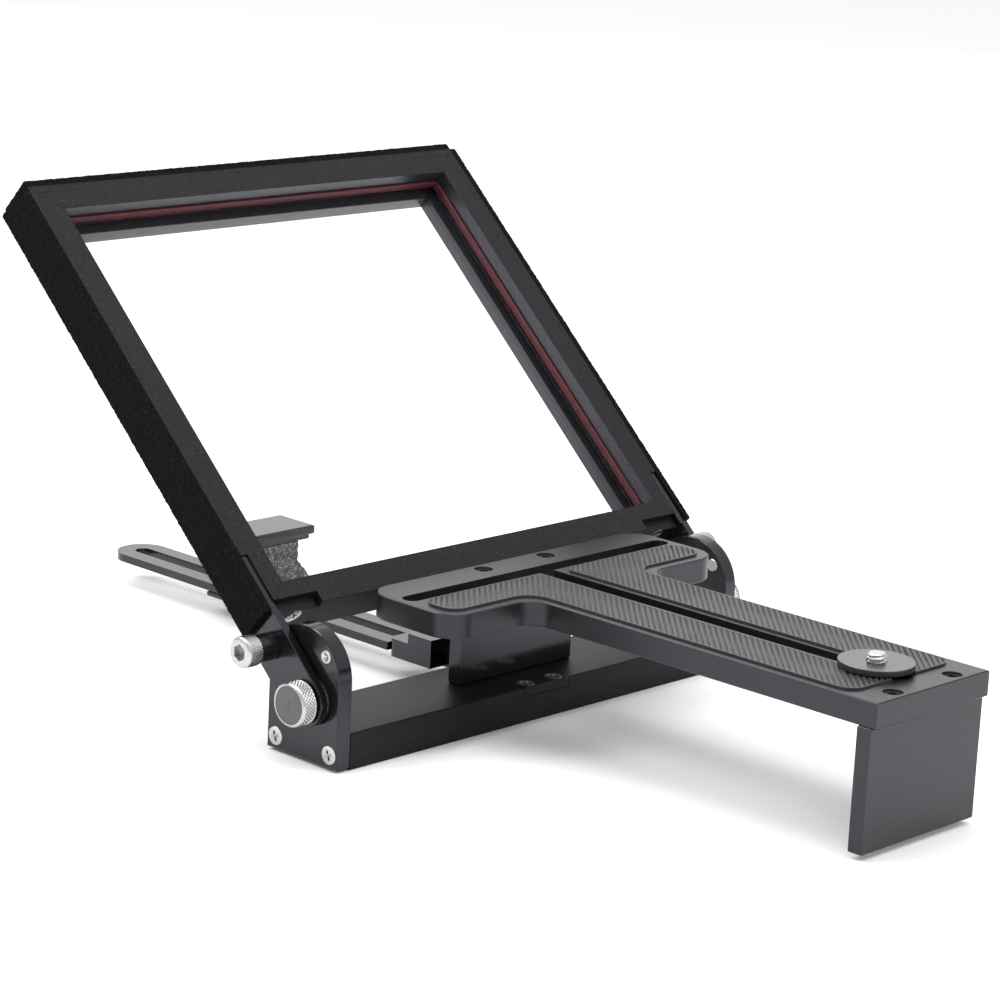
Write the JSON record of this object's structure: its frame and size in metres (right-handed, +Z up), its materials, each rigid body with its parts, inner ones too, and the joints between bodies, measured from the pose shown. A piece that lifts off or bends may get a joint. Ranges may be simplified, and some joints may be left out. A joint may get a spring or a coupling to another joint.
{
  "type": "teleprompter",
  "caption": "Small beam-splitter teleprompter: tilting framed glass on a crossbar, T-shaped slotted camera plate and a slotted rail with a post for the device.",
  "frame": {"origin": "middle of the crossbar's underside, on which the teleprompter stands", "axes": "+Z up; +Y from the camera towards the person filmed, along the camera plate and the device rail; X along the crossbar"},
  "size_m": [0.232, 0.3866, 0.1711],
  "materials": {
    "black_anodised": "matt black anodised, fine satin grain",
    "grey_anodised": "dark grey anodised, brushed",
    "bright_steel": "bright turned steel",
    "black_steel": "black oxide",
    "rough_cast": "rough grey with bright grains",
    "grip_rubber": "diagonal ribs",
    "red_gasket": "smooth dark red",
    "mirror_glass": "clear, partly reflecting",
    "hook_and_loop": "black loop pile"
  },
  "bodies": {
    "base": {"base_crossbar": "black_anodised", "side_plate_left": "black_anodised", "side_plate_right": "black_anodised", "side_plate_screws": "bright_steel", "detent_plungers": "bright_steel", "friction_washers": "bright_steel", "pedestal": "black_anodised", "pedestal_screws": "bright_steel", "camera_plate": "black_anodised", "camera_plate_screws": "black_steel", "grip_pad_left": "grip_rubber", "grip_pad_right": "grip_rubber", "foot_plate": "black_anodised", "rail_bracket": "black_anodised", "rail_bracket_screws": "black_steel", "device_rail": "grey_anodised"},
    "frame": {"frame_rail_bottom": "black_anodised", "frame_rail_top": "black_anodised", "frame_rail_left": "black_anodised", "frame_rail_right": "black_anodised", "corner_angle_top_left": "black_anodised", "corner_angle_top_right": "black_anodised", "corner_leg_left": "black_anodised", "corner_leg_right": "black_anodised", "arm_left": "black_anodised", "arm_right": "black_anodised", "beam_splitter_glass": "mirror_glass", "corner_leg_screws": "bright_steel", "glass_gasket": "red_gasket", "hook_strip_left": "hook_and_loop", "hook_strip_right": "hook_and_loop", "hook_strip_top": "hook_and_loop", "arm_spacers": "black_anodised", "arm_cap_screws": "bright_steel"},
    "knob_left": {"thumb_knob_left": "bright_steel"},
    "knob_right": {"thumb_knob_right": "bright_steel"},
    "camera_seat": {"camera_disc": "black_anodised"},
    "camera_screw": {"camera_screw": "black_steel"},
    "post": {"device_post": "rough_cast", "post_clamp_plate": "black_anodised"},
    "post_screw": {"post_clamp_knob": "black_steel"}
  },
  "joints": [
    {"name": "frame_tilt", "type": "hinge", "parent": "base", "child": "frame", "pos_m": [0, -0.0041, 0.0221], "axis": [1, 0, 0], "range_deg": [-26, 10]},
    {"name": "knob_left_turn", "type": "hinge", "parent": "base", "child": "knob_left", "pos_m": [-0.1058, -0.0041, 0.0221], "axis": [1, 0, 0], "range_deg": [0, 360]},
    {"name": "knob_right_turn", "type": "hinge", "parent": "base", "child": "knob_right", "pos_m": [0.1058, -0.0041, 0.0221], "axis": [1, 0, 0], "range_deg": [0, 360]},
    {"name": "camera_slide", "type": "slide", "parent": "base", "child": "camera_seat", "axis": [0, 1, 0], "range_m": [-0.0049, 0.1411]},
    {"name": "camera_screw_turn", "type": "hinge", "parent": "camera_seat", "child": "camera_screw", "pos_m": [0, -0.1551, 0.0524], "axis": [0, 0, 1], "continuous": true},
    {"name": "post_slide", "type": "slide", "parent": "base", "child": "post", "axis": [0, 1, 0], "range_m": [-0.066, 0.068]},
    {"name": "post_screw_turn", "type": "hinge", "parent": "post", "child": "post_screw", "pos_m": [0, 0.1292, 0.0094], "axis": [0, 0, 1], "range_deg": [0, 360]}
  ]
}
